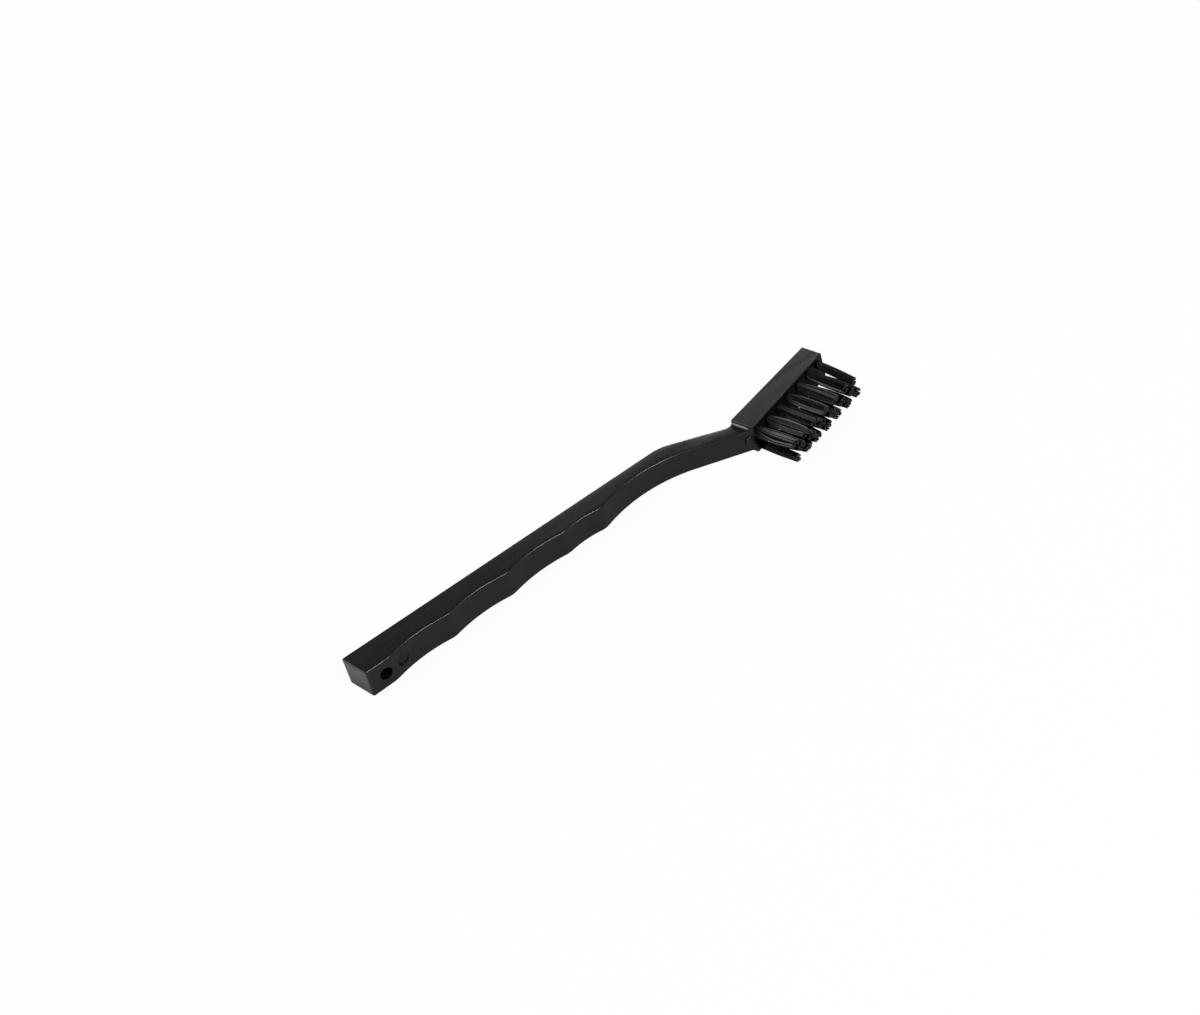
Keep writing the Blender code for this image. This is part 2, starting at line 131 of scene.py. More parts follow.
# Each tuft in millimetres: how far its trimmed end stands from where its hole points it, along the
# head and across it, how wide it is there, how much it bellies on each side, and how far it bows
TUFT_ENDS = {
    "upper_1": (-0.05, 0.60, 4.3, 0.60, -0.40),
    "upper_2": (-0.05, 0.45, 4.6, 0.75, -0.10),
    "upper_3": (0.10, 0.25, 4.6, 0.75, -0.05),
    "upper_4": (0.25, 0.10, 4.6, 0.75, -0.05),
    "upper_5": (0.10, 0.15, 4.4, 0.35, -0.15),
    "upper_6": (0.30, 0.00, 4.3, 0.15, 0.15),
    "upper_7": (-0.30, -0.75, 2.6, 0.00, -0.05),
    "middle_1": (0.05, 0.20, 4.6, 0.70, -0.35),
    "middle_2": (0.00, 0.05, 4.8, 0.85, -0.05),
    "middle_3": (0.10, 0.15, 4.8, 0.85, 0.00),
    "middle_4": (0.40, -0.10, 4.8, 0.75, 0.00),
    "middle_5": (0.45, -0.20, 4.3, 0.15, 0.05),
    "middle_6": (0.35, -0.40, 3.9, 0.25, 0.00),
    "lower_1": (-0.05, 0.50, 2.8, 0.10, 0.00),
    "lower_2": (0.10, 0.25, 4.7, 0.90, -0.05),
    "lower_3": (-0.20, 0.00, 4.7, 0.90, 0.00),
    "lower_4": (-0.05, 0.05, 4.7, 0.85, 0.00),
    "lower_5": (0.00, 0.20, 4.5, 0.60, 0.00),
    "lower_6": (0.30, -0.05, 4.3, 0.25, 0.05),
    "lower_7": (0.15, -0.05, 3.8, 0.25, 0.05),
}


def length(name, description, millimetres):
    """A length property whose default is given in millimetres."""
    return FloatProperty(
        name=name,
        description=description,
        default=millimetres * MM,
        min=0.0,
        precision=5,
        subtype="DISTANCE",
        unit="LENGTH",
    )


def slant(name, description, degrees):
    """An angle property whose default is given in degrees."""
    return FloatProperty(
        name=name,
        description=description,
        default=math.radians(degrees),
        subtype="ANGLE",
        unit="ROTATION",
    )


def number(name, description, value):
    """A plain number property."""
    return FloatProperty(name=name, description=description, default=value)


def pair(name, description, first, second):
    """A property of two numbers."""
    return FloatVectorProperty(name=name, description=description, default=(first, second), size=2)


def colour(name, description, value):
    """A colour property."""
    return FloatVectorProperty(
        name=name, description=description, default=value, size=3, min=0.0, max=1.0, subtype="COLOR"
    )


class GripSizes(PropertyGroup):
    """Sizes of the grip with its finger grooves."""

    end_width: length("End width", "Width of the hanging end", 10.1)
    end_depth: length("End depth", "Depth of the hanging end", 10.6)
    end_slant: length("End slant", "How far the end face leans", 1.9)
    back_corner: length("Back corner", "Rounding of the end's corner at the back", 0.8)
    front_corner: length("Front corner", "Rounding of the end's corner under the grip", 0.6)
    flat: length("Flat", "Length of the flat that holds the hanging bore", 8.7)
    groove: length("Groove", "Length of each of the three long grooves", 22.0)
    groove_hollow: length("Groove hollow", "Depth of a long groove below its crests", 1.36)
    short_groove: length("Short groove", "Length of the groove nearest the neck", 13.8)
    short_hollow: length("Short hollow", "Depth of the short groove below its crests", 0.85)
    crest_1: length("Crest 1", "Depth of the handle at the flat's end", 10.5)
    crest_2: length("Crest 2", "Depth of the handle after the first groove", 9.5)
    crest_3: length("Crest 3", "Depth of the handle after the second groove", 8.8)
    crest_4: length("Crest 4", "Depth of the handle after the third groove", 7.82)
    crest_5: length("Crest 5", "Depth of the handle where the neck begins", 8.0)
    crest_round: length("Crest rounding", "Reach of each crest's rounding", 1.6)
    edge_round: length("Edge rounding", "Rounding of the long edges", 0.30)
    crown_runs: FloatVectorProperty(
        name="Crown runs",
        description="Widths of the bands in which a side face rises, from its edge inwards",
        default=(0.5 * MM, 0.7 * MM, 0.9 * MM),
        precision=5,
        unit="LENGTH",
    )
    crown_slopes: FloatVectorProperty(
        name="Crown slopes",
        description="How steeply each of those bands rises",
        default=(math.radians(8.0), math.radians(4.5), math.radians(2.0)),
        unit="ROTATION",
    )
    crown_sunk: number("Crown sunk", "Share of the crown that lies inside the end's width", 0.35)
    bore: length("Hanging bore", "Diameter of the hanging bore", 4.2)
    bore_place: length("Bore place", "Distance of the bore from the end", 8.0)
    pin: length("Pin mark", "Diameter of the round marks that the ejector pins leave", 4.1)
    pin_from_crest: length("Pin from crest", "From the flat's end to the grip's pin mark", 4.1)
    pin_round: length("Pin rounding", "Rounding of a pin mark's rim", 0.25)
    pin_proud: length("Pin proud", "How far a pin mark stands clear of the place cut for it", 0.05)
    pin_sunk: length("Pin sunk", "How deep the grip's pin mark lies where it is shallowest", 0.25)


class NeckSizes(PropertyGroup):
    """Sizes of the neck between grip and head."""

    sweep: length("Sweep", "Radius of the long hollow under the neck", 45.0)
    thinnest: length("Thinnest", "Depth at the neck's thinnest place", 5.0)
    under_angle: slant("Under angle", "How steeply the neck's underside goes down", 24.0)
    back_angle: slant("Back angle", "How steeply the neck's back goes down", 26.1)
    width: length("Width", "Width of the neck where it meets the head", 7.9)
    under_run: length("Under run", "Straight stretch under the neck", 19.6)
    shoulder: length("Shoulder", "Reach of the rounded shoulder", 2.7)
    corner: length("Corner", "Radius of the hollow corner behind the head", 2.9)
    corner_rise: length("Corner rise", "How far the hollow corner climbs", 1.57)
    pin_before_face: length("Pin before face", "From the neck's pin mark to the bristle face", 1.15)
    pin_set_in: length("Pin set in", "How far the neck's pin mark is sunk", 0.45)


class HeadSizes(PropertyGroup):
    """Sizes of the head block and its tuft holes."""

    block: length("Length", "Length of the head block", 36.9)
    width: length("Width", "Width of the head block", 10.1)
    near_depth: length("Near depth", "Depth of the head at the neck", 8.5)
    tip_depth: length("Tip depth", "Depth of the head at its tip", 7.2)
    edge_round: length("Edge rounding", "Rounding of the block's edges", 0.2)
    ledge_run: length("Ledge run", "Length of the hollow that widens the neck at the head", 1.25)
    ledge_rise: length("Ledge rise", "How much each side of the neck widens there", 0.72)
    ledge_slope: slant("Ledge slope", "How steeply that hollow ends under the head", 60.0)
    first_tuft: length("First tuft", "Distance of the first holes from the face's near corner", 1.6)
    hole: length("Hole", "Diameter of a tuft hole", 2.7)
    hole_depth: length("Hole depth", "Depth of a tuft hole", 4.4)
    anchor_lift: length("Anchor lift", "Height of an anchor's middle above its hole's bottom", 1.4)
    anchor_width: length("Anchor width", "Width of an anchor along the head", 3.3)
    anchor_height: length("Anchor height", "Height of an anchor in its hole", 1.5)
    anchor_room: length("Anchor room", "Clearance round an anchor in its slot", 0.12)


class BristleSizes(PropertyGroup):
    """Sizes of the bristles."""

    reach: length("Reach", "How far the bristles stand out of the face", 15.0)
    filament: length("Filament", "Diameter of a bristle", 0.25)
    bundle: length("Bundle", "Diameter of a tuft where it leaves the face", 2.5)
    across: length("Across", "Width of a tuft's end across the head", 3.1)
    parting: length("Parting", "Gap between a tuft's two halves, folded over its anchor", 0.35)
    first_lean: length("First lean", "How far the first tufts lean back to the neck", 0.7)
    lean_gain: length("Lean gain", "How much more each next tuft leans", 0.05)
    raggedness: length("Raggedness", "How unlike the bristles' lengths are", 0.18)
    wander: length("Wander", "How far a bristle's tip strays from its place", 0.10)
    bend: length("Bend", "How far a bristle bows between its root and its tip", 0.12)
    swell: length("Swell", "How far a clump of bristles bows outwards at its middle", 0.28)
    sunk: length("Sunk", "How deep in the hole the modelled bristles begin", 2.0)
    gather: number("Gather", "How much bristles lean to their clump", 0.38)
    opening: number("Opening", "How soon a tuft opens out above its hole", 2.5)
    clumps: IntProperty(name="Clumps", description="Clumps in a tuft", default=6, min=2)
    count: IntProperty(name="Count", description="Bristles in a tuft", default=110, min=7)


class FinishSettings(PropertyGroup):
    """Colours, shades and gloss of the materials. A shade multiplies its material's colour."""

    plastic: colour("Plastic", "Colour of the carbon-filled plastic", (0.0062, 0.0059, 0.0060))
    plastic_shades: pair("Plastic shades", "Shades of the flow clouds", 0.8, 1.35)
    plastic_roughness: pair("Plastic roughness", "Roughness of the rubbed patches", 0.26, 0.32)
    plastic_gloss: number("Plastic gloss", "Reflection level", 0.66)
    grain: number("Grain", "How strongly the mould grain shows", 0.08)
    grain_depth: length("Grain depth", "Depth of the mould grain", 0.01)
    # Painted shade inside the hanging bore: both shades darken the plastic, and the scores vary
    # between them
    bore_scores_in_painted_shade: pair("Bore shades", "Shades of the scores in the bore", 0.2, 0.6)
    bore_roughness: pair("Bore roughness", "Roughness of the scores in the bore", 0.6, 0.8)
    bore_gloss: number("Bore gloss", "Reflection level inside the bore", 0.08)
    nylon: colour("Nylon", "Colour of the carbon-filled bristles", (0.0045, 0.0045, 0.0052))
    nylon_shades: pair("Nylon shades", "Shades of the darkest and the greyest bristles", 0.2, 32.0)
    nylon_tones: pair("Nylon tones", "Tones between which bristles turn grey", 0.62, 0.84)
    # Painted shade at the bristles' roots, where the tufts stand close: up to this span a bristle
    # keeps only a share of its grey
    painted_root_shade_span: pair("Grey rise", "Where along a bristle its grey sets in", 0.20, 0.50)
    root_grey_under_painted_shade: number("Root grey", "Share of its grey at a bristle's root", 0.10)
    cut_shade: number("Cut shade", "Shade of a bristle's cut end", 14.0)
    cut_start: number("Cut start", "Where along a bristle its cut end begins", 0.99)
    nylon_roughness: pair("Nylon roughness", "Roughness of dark and of grey bristles", 0.45, 0.10)
    nylon_streaks: pair("Nylon streaks", "How much that roughness varies along a bristle", 0.8, 1.2)
    smooth_rise: pair("Smooth rise", "Where along a bristle its smoother root ends", 0.15, 0.50)
    root_smooth: number("Root smoothness", "Share of its roughness at a bristle's root", 0.7)
    nylon_gloss: number("Nylon gloss", "Reflection level", 0.05)
    wire: colour("Wire", "Colour of the anchors' drawn wire", (0.62, 0.60, 0.56))
    wire_shades: pair("Wire shades", "Shades of the lines along the wire", 0.8, 1.0)
    wire_roughness: pair("Wire roughness", "Roughness of the lines along the wire", 0.22, 0.4)


class StageSettings(PropertyGroup):
    """Floor, world and camera."""

    floor_size: length("Floor", "Width of the floor", 6000.0)
    floor_white: number("Floor white", "Share of plain white in what the camera sees", 0.95)
    floor_mirrored: number("Floor mirrored", "Share of plain light in what reflections show", 0.7)
    floor_pale: number("Floor pale", "Tone of the floor for the light it scatters", 0.5)
    sweep: number("Sweep", "Level of the low part of the sky in reflections", 0.14)
    sweep_heights: pair("Sweep heights", "Heights between which that level fades out", 0.40, 0.72)
    ambient: number("Ambient", "Level of the world's own light", 0.06)
    camera_place: FloatVectorProperty(
        name="Camera",
        description="Place of the camera",
        default=(-0.27527, -0.60098, 0.61225),
        subtype="TRANSLATION",
        unit="LENGTH",
    )
    camera_right: FloatVectorProperty(
        name="Picture right",
        description="Direction of the picture's right side",
        default=(0.7881, -0.5748, -0.2204),
    )
    camera_ahead: FloatVectorProperty(
        name="Ahead",
        description="Direction in which the camera looks",
        default=(0.3062, 0.6766, -0.6696),
    )
    focal_pixels: number("Focal length", "Focal length in pixels of the photograph", 2997.4)


def polar(reach, angle):
    """A plane vector of a length, at an angle from +X."""
    return Vector((math.cos(angle), math.sin(angle))) * reach


def line_crossing(point_a, angle_a, point_b, angle_b):
    """Where two lines of the side view cross."""
    along_a = polar(1.0, angle_a)
    along_b = polar(1.0, angle_b)
    gap = point_b - point_a
    turn = along_a.x * along_b.y - along_a.y * along_b.x
    return point_a + along_a * ((gap.x * along_b.y - gap.y * along_b.x) / turn)


def groove_circle(start, end, hollow):
    """Centre and radius of the arc from start to end that is hollowed towards +Y."""
    chord = end - start
    radius = chord.length_squared / (8 * hollow) + hollow / 2
    side = Vector((-chord.y, chord.x)).normalized()
    return (start + end) / 2 - side * (radius - hollow), radius


def node_middle(node):
    """The middle of a node's box."""
    low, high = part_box(node)
    return (Vector(low) + Vector(high)) / 2


class HeadPlace:
    """The head's place and directions, read from the anchors that the frame holds."""

    def __init__(self, head):
        first = node_middle("anchor_upper_1")
        last = node_middle("anchor_upper_7")
        self.along = (last - first).normalized()
        self.out = Vector((self.along.y, -self.along.x, 0.0))
        self.across = self.out.cross(self.along)
        self.anchor_depth = head.hole_depth - head.anchor_lift
        self.face_near = first + self.out * self.anchor_depth - self.along * head.first_tuft
        self.face_near.z = node_middle("anchor_middle_1").z
        self.tilt = math.atan2(self.along.y, self.along.x)

    def hole_matrix(self, tuft_name):
        """A place at a tuft hole's mouth, with +Z out of the face and +X along the head."""
        mouth = node_middle("anchor_" + tuft_name) + self.out * self.anchor_depth
        turn = Matrix((self.along, self.across, self.out)).transposed().to_4x4()
        return Matrix.Translation(mouth) @ turn


class SideView:
    """Places of the handle's side view, measured from the corner of its back and its end."""

    def __init__(self, grip, neck, head, tilt):
        self.end_back = Vector((0.0, 0.0))
        self.end_front = Vector((grip.end_slant, -grip.end_depth))
        depths = (grip.crest_1, grip.crest_2, grip.crest_3, grip.crest_4, grip.crest_5)
        runs = (grip.groove, grip.groove, grip.groove, grip.short_groove, 0.0)
        crest_x = grip.end_slant + grip.flat
        self.crests = []
        for depth, run in zip(depths, runs):
            self.crests.append(Vector((crest_x, -depth)))
            crest_x += run
        self.hollows = (grip.groove_hollow,) * 3 + (grip.short_hollow,)

        last = self.crests[-1]
        drop = -neck.thinnest - last.y
        reach = math.sqrt(neck.sweep ** 2 - (neck.sweep - drop) ** 2)
        self.sweep_centre = Vector((last.x + reach, -neck.thinnest - neck.sweep))
        self.sweep_end = self.sweep_centre + polar(neck.sweep, math.pi / 2 - neck.under_angle)

        self.along = polar(1.0, tilt)
        self.out = polar(1.0, tilt - math.pi / 2)
        self.face_near = self.sweep_end + polar(neck.under_run, -neck.under_angle)
        self.face_tip = self.face_near + self.along * head.block
        self.back_near = self.face_near - self.out * head.near_depth
        self.back_tip = self.face_tip - self.out * head.tip_depth

        self.corner_top = self.back_near + self.out * head.edge_round
        corner_turn = math.acos(1 - neck.corner_rise / neck.corner)
        square = -neck.back_angle - math.pi / 2
        self.corner_centre = self.corner_top - polar(neck.corner, square + corner_turn)
        self.corner_start = self.corner_centre + polar(neck.corner, square)
        self.shoulder = line_crossing(self.end_back, 0.0, self.corner_start, -neck.back_angle)

    def grooves(self):
        """Start, end and hollow of each finger groove."""
        return list(zip(self.crests, self.crests[1:], self.hollows))


def along_arc(centre, place, reach):
    """The place at a distance along an arc about a centre, which runs to +X over that centre."""
    spoke = place - centre
    return centre + Matrix.Rotation(-reach / spoke.length, 2) @ spoke


def bevel(bm, parts, offset, segments, affect):
    """Rounds edges or corners by an offset."""
    bmesh.ops.bevel(
        bm,
        geom=parts,
        offset=offset,
        offset_type="OFFSET",
        segments=segments,
        profile=0.5,
        affect=affect,
        clamp_overlap=False,
        material=-1,
    )


class Drawing:
    """A flat outline drawn point by point with straight lines and arcs, then filled."""

    def __init__(self):
        self.bm = bmesh.new()
        self.first = None
        self.last = None
        self.rounds = {}

    def line_to(self, place, rounding=0.0):
        """A straight line to a place, which may be a corner to round later."""
        vert = self.bm.verts.new((place.x, place.y, 0.0))
        if self.last is None:
            self.first = vert
        else:
            self.bm.edges.new((self.last, vert))
        self.last = vert
        if rounding:
            self.rounds.setdefault(round(rounding, 7), []).append(vert)

    def arc_to(self, centre, end, steps):
        """An arc about a centre to a place, spun from the last point."""
        start = self.last.co.to_2d() - centre
        finish = end - centre
        turn = math.atan2(finish.y, finish.x) - math.atan2(start.y, start.x)
        spun = bmesh.ops.spin(
            self.bm,
            geom=[self.last],
            cent=(centre.x, centre.y, 0.0),
            axis=(0.0, 0.0, 1.0),
            angle=turn,
            steps=steps,
            use_merge=False,
            use_normal_flip=False,
            use_duplicate=False,
        )
        self.last = spun["geom_last"][0]

    def round_to(self, square, end, steps):
        """An arc to a place that leaves the last point square to a direction."""
        start = self.last.co.to_2d()
        chord = end - start
        square_angle = math.atan2(square.y, square.x)
        bisector = math.atan2(chord.x, -chord.y)
        self.arc_to(line_crossing(start, square_angle, (start + end) / 2, bisector), end, steps)

    def fill(self):
        """Closes the outline, fills it and rounds its marked corners."""
        self.bm.edges.new((self.last, self.first))
        bmesh.ops.edgeloop_fill(self.bm, edges=self.bm.edges[:], mat_nr=0, use_smooth=False)
        for rounding, corners in self.rounds.items():
            bevel(self.bm, corners, rounding, SHOULDER_SEGMENTS, "VERTICES")
        return self.bm


def extrude_flat(bm, thickness):
    """Makes a slab of a flat outline, centred on its plane."""
    bmesh.ops.translate(bm, verts=bm.verts, vec=(0.0, 0.0, -thickness / 2))
    made = bmesh.ops.extrude_face_region(bm, geom=bm.faces[:])
    top = [part for part in made["geom"] if isinstance(part, bmesh.types.BMVert)]
    bmesh.ops.translate(bm, verts=top, vec=(0.0, 0.0, thickness))
    bmesh.ops.recalc_face_normals(bm, faces=bm.faces)


def round_edges(bm, offset, segments):
    """Rounds every edge that is sharp enough."""
    sharp = [edge for edge in bm.edges if edge.calc_face_angle(0.0) > math.radians(BEVEL_ANGLE)]
    bevel(bm, sharp, offset, segments, "EDGES")


def mesh_object(name, bm):
    """A new object of a bmesh, linked to the scene."""
    mesh = bpy.data.meshes.new(name)
    bm.to_mesh(mesh)
    bm.free()
    thing = bpy.data.objects.new(name, mesh)
    bpy.context.scene.collection.objects.link(thing)
    return thing


def add_cylinder(bm, matrix, diameter, depth, sides):
    """A cylinder whose base stands at the matrix and which rises along its +Z."""
    bmesh.ops.create_cone(
        bm,
        cap_ends=True,
        segments=sides,
        radius1=diameter / 2,
        radius2=diameter / 2,
        depth=depth,
        matrix=matrix @ Matrix.Translation((0.0, 0.0, depth / 2)),
    )


def add_box(bm, matrix, size):
    """A box of a size about a matrix."""
    bmesh.ops.create_cube(bm, size=1.0, matrix=matrix @ Matrix.Diagonal((*size, 1.0)))


def combine(thing, tools):
    """Joins and cuts a piece with helper pieces, which are then removed, and keeps the result."""
    for operation, tool in tools:
        boolean = thing.modifiers.new(operation.lower(), "BOOLEAN")
        boolean.operation = operation
        boolean.solver = "EXACT"
        boolean.object = tool
        boolean.material_mode = "TRANSFER" if tool.data.materials else "INDEX"
    depsgraph = bpy.context.evaluated_depsgraph_get()
    mesh = bpy.data.meshes.new_from_object(thing.evaluated_get(depsgraph))
    mesh.name = thing.name
    thing.modifiers.clear()
    thing.data = mesh
    for _, tool in tools:
        bpy.data.objects.remove(tool)


def crown_sides(bm, grip):
    """Makes a slab of the outline whose side faces rise a little from their edges inwards."""
    rings = list(zip(grip.crown_runs, grip.crown_slopes))
    crown = sum(run * math.tan(slope) for run, slope in rings)
    extrude_flat(bm, grip.end_width - 2 * crown * grip.crown_sunk)
    sides = [face for face in bm.faces if abs(face.normal.z) > MOSTLY]
    for run, slope in rings:
        bmesh.ops.inset_region(
            bm,
            faces=sides,
            thickness=run,
            depth=run * math.tan(slope),
            use_boundary=True,
            use_even_offset=True,
        )


def neck_slab(grip, neck, head, view):
    """Grip and neck in one slab of the side view's outline, with the handle's taper in width."""
    sheet = Drawing()
    sheet.line_to(view.end_back)
    sheet.line_to(view.end_front)
    flat = (view.crests[0] - view.end_front).normalized()
    sheet.line_to(view.crests[0] - flat * grip.crest_round)
    square = Vector((-flat.y, flat.x))
    centres = []
    ends = []
    for start, end, hollow in view.grooves():
        centre, _ = groove_circle(start, end, hollow)
        centres.append(centre)
        ends.append(along_arc(centre, end, -grip.crest_round))
    centres.append(view.sweep_centre)
    ends.append(view.sweep_end)
    for crest, centre, end in zip(view.crests, centres, ends):
        sheet.round_to(square, along_arc(centre, crest, grip.crest_round), CREST_STEPS)
        sheet.arc_to(centre, end, GROOVE_STEPS)
        square = end - centre
    inside = view.along * NECK_IN_HEAD
    lip = view.face_near - view.out * NECK_ABOVE_FACE
    sheet.line_to(lip)
    sheet.line_to(lip + inside)
    sheet.line_to(view.corner_top + view.out * head.edge_round + inside)
    sheet.line_to(view.corner_top)
    sheet.arc_to(view.corner_centre, view.corner_start, CORNER_STEPS)
    sheet.line_to(view.shoulder, neck.shoulder)
    bm = sheet.fill()
    crown_sides(bm, grip)
    round_corners(bm, ((view.end_back, grip.back_corner), (view.end_front, grip.front_corner)))
    shape_width(bm, grip, neck, head, view)
    round_edges(bm, grip.edge_round, EDGE_SEGMENTS)
    return bm


def shape_width(bm, grip, neck, head, view):
    """Narrows the slab towards the neck, and widens it in a hollow ledge under the head."""
    for step in range(LEDGE_STEPS + 1):
        place = view.face_near + view.along * (LEDGE_LAP - head.ledge_run * step / LEDGE_STEPS)
        bmesh.ops.bisect_plane(
            bm,
            geom=bm.verts[:] + bm.edges[:] + bm.faces[:],
            dist=SAME_POINT,
            plane_co=place.to_3d(),
            plane_no=view.along.to_3d(),
        )
    for vert in bm.verts:
        flat = vert.co.to_2d()
        share = min(max(flat.x / view.face_near.x, 0.0), 1.0)
        width = grip.end_width + (neck.width - grip.end_width) * share
        below = (view.face_near - flat).dot(view.along) + LEDGE_LAP
        if below < head.ledge_run:
            sine = (1 - max(below, 0.0) / head.ledge_run) * math.sin(head.ledge_slope)
            climb = (1 - math.sqrt(1 - sine ** 2)) / (1 - math.cos(head.ledge_slope))
            width += 2 * head.ledge_rise * climb
        vert.co.z *= width / grip.end_width


def round_corners(bm, corners):
    """Rounds the upright edges at some corners of the side view, each by its own reach."""
    for corner, reach in corners:
        upright = []
        for edge in bm.edges:
            if all((vert.co.to_2d() - corner).length < SAME_POINT for vert in edge.verts):
                upright.append(edge)
        bevel(bm, upright, reach, END_SEGMENTS, "EDGES")


def head_block(head, view):
    """The head's block, a little deeper at the neck than at the tip."""
    sheet = Drawing()
    for corner in (view.face_near, view.face_tip, view.back_tip, view.back_near):
        sheet.line_to(corner)
    bm = sheet.fill()
    extrude_flat(bm, head.width)
    round_edges(bm, head.edge_round, EDGE_SEGMENTS)
    return bm


def pin_marks(grip, neck, view):
    """The ejector pins' marks: stock down to each pin's flat end, and a cutter below it."""
    under = Matrix.Rotation(math.pi / 2, 4, "X")
    centre, radius = groove_circle(view.crests[0], view.crests[1], grip.groove_hollow)
    grip_x = view.crests[0].x + grip.pin_from_crest
    rise = math.sqrt(radius ** 2 - (grip_x + grip.pin / 2 - centre.x) ** 2)
    grip_y = centre.y + rise + grip.pin_sunk
    neck_x = view.face_near.x - neck.pin_before_face
    neck_y = view.face_near.y + neck.pin_set_in
    stock = bmesh.new()
    cutter = bmesh.new()
    for x, y in ((grip_x, grip_y), (neck_x, neck_y)):
        above = Matrix.Translation((x, y + PIN_REACH, 0.0)) @ under
        add_cylinder(stock, above, grip.pin, PIN_REACH + grip.pin_proud, PIN_SIDES)
        below = Matrix.Translation((x, y, 0.0)) @ under
        add_cylinder(cutter, below, grip.pin + 2 * grip.pin_proud, PIN_REACH, PIN_SIDES)
    round_edges(stock, grip.pin_round, PIN_SEGMENTS)
    return stock, cutter


def shade_smooth(thing, angle):
    """Smooth shading with sharp edges, and normals that keep the large faces flat."""
    thing.data.shade_smooth()
    thing.data.set_sharp_from_angle(angle=math.radians(angle))
    weighted = thing.modifiers.new("flat_faces", "WEIGHTED_NORMAL")
    weighted.mode = "FACE_AREA"
    weighted.weight = 100
    weighted.keep_sharp = True
    combine(thing, [])


def node_tree(name):
    """A new material, its nodes and a way to link them."""
    material = bpy.data.materials.new(name)
    material.use_nodes = True
    nodes = material.node_tree.nodes
    links = material.node_tree.links
    return material, nodes, links, nodes["Principled BSDF"]


def noise(nodes, links, source, scale, detail, stretch=(1.0, 1.0, 1.0)):
    """A noise texture on object coordinates, stretched by a Mapping node."""
    mapping = nodes.new("ShaderNodeMapping")
    mapping.inputs["Scale"].default_value = stretch
    links.new(source.outputs["Object"], mapping.inputs["Vector"])
    texture = nodes.new("ShaderNodeTexNoise")
    texture.inputs["Scale"].default_value = scale
    texture.inputs["Detail"].default_value = detail
    links.new(mapping.outputs["Vector"], texture.inputs["Vector"])
    return texture.outputs["Fac"]


def ranged(nodes, links, value, low, high, low_out, high_out):
    """Maps a value's range to another range, held at its ends."""
    span = nodes.new("ShaderNodeMapRange")
    span.inputs["From Min"].default_value = low
    span.inputs["From Max"].default_value = high
    span.inputs["To Min"].default_value = low_out
    span.inputs["To Max"].default_value = high_out
    links.new(value, span.inputs["Value"])
    return span.outputs["Result"]


def maths(nodes, links, operation, first, second):
    """Two values joined by an arithmetic operation."""
    node = nodes.new("ShaderNodeMath")
    node.operation = operation
    links.new(first, node.inputs[0])
    links.new(second, node.inputs[1])
    return node.outputs["Value"]


def colour_mix(nodes, links, factor, second):
    """A mix whose second colour is set, with its first colour still open."""
    mix = nodes.new("ShaderNodeMix")
    mix.data_type = "RGBA"
    links.new(factor, mix.inputs["Factor"])
    mix.inputs["B"].default_value = (*second, 1.0)
    return mix


def shaded(nodes, links, factor, base, shades):
    """A mix of two shades of a colour by a factor."""
    mix = colour_mix(nodes, links, factor, base * shades[1])
    mix.inputs["A"].default_value = (*(base * shades[0]), 1.0)
    return mix.outputs["Result"]


def attribute(nodes, name):
    """A value that the bristles' vertices carry."""
    node = nodes.new("ShaderNodeAttribute")
    node.attribute_name = name
    return node.outputs["Fac"]


def conductive_plastic(finish):
    """Black carbon-filled plastic: a fine mould grain, faint flow clouds and rubbed patches."""
    material, nodes, links, shader = node_tree("conductive_plastic")
    source = nodes.new("ShaderNodeTexCoord")
    clouds = noise(nodes, links, source, scale=60.0, detail=3.0, stretch=(0.35, 1.0, 1.0))
    grain = noise(nodes, links, source, scale=2600.0, detail=2.0)
    rubbed = noise(nodes, links, source, scale=300.0, detail=2.0, stretch=(0.12, 1.0, 1.0))
    cloudy = ranged(nodes, links, clouds, *NOISE_SPAN, 0.0, 1.0)
    body = shaded(nodes, links, cloudy, Vector(finish.plastic), finish.plastic_shades)
    links.new(body, shader.inputs["Base Color"])
    roughness = ranged(nodes, links, rubbed, *NOISE_SPAN, *finish.plastic_roughness)
    links.new(roughness, shader.inputs["Roughness"])
    bump = nodes.new("ShaderNodeBump")
    bump.inputs["Strength"].default_value = finish.grain
    bump.inputs["Distance"].default_value = finish.grain_depth
    links.new(grain, bump.inputs["Height"])
    links.new(bump.outputs["Normal"], shader.inputs["Normal"])
    shader.inputs["Specular IOR Level"].default_value = finish.plastic_gloss
    return material


def bore_wall(finish):
    """The same plastic inside the hanging bore, which the drawn core pin leaves dull and scored, and
    darkened by painted shade where the bore lies in shade.
    """
    material, nodes, links, shader = node_tree("bore_wall")
    source = nodes.new("ShaderNodeTexCoord")
    scores = noise(nodes, links, source, scale=1500.0, detail=2.0, stretch=(1.0, 0.05, 1.0))
    # Painted shade: the bore's wall is a darkened copy of the plastic, scored between two dark
    # shades
    body = shaded(nodes, links, scores, Vector(finish.plastic), finish.bore_scores_in_painted_shade)
    links.new(body, shader.inputs["Base Color"])
    roughness = ranged(nodes, links, scores, *NOISE_SPAN, *finish.bore_roughness)
    links.new(roughness, shader.inputs["Roughness"])
    shader.inputs["Specular IOR Level"].default_value = finish.bore_gloss
    return material


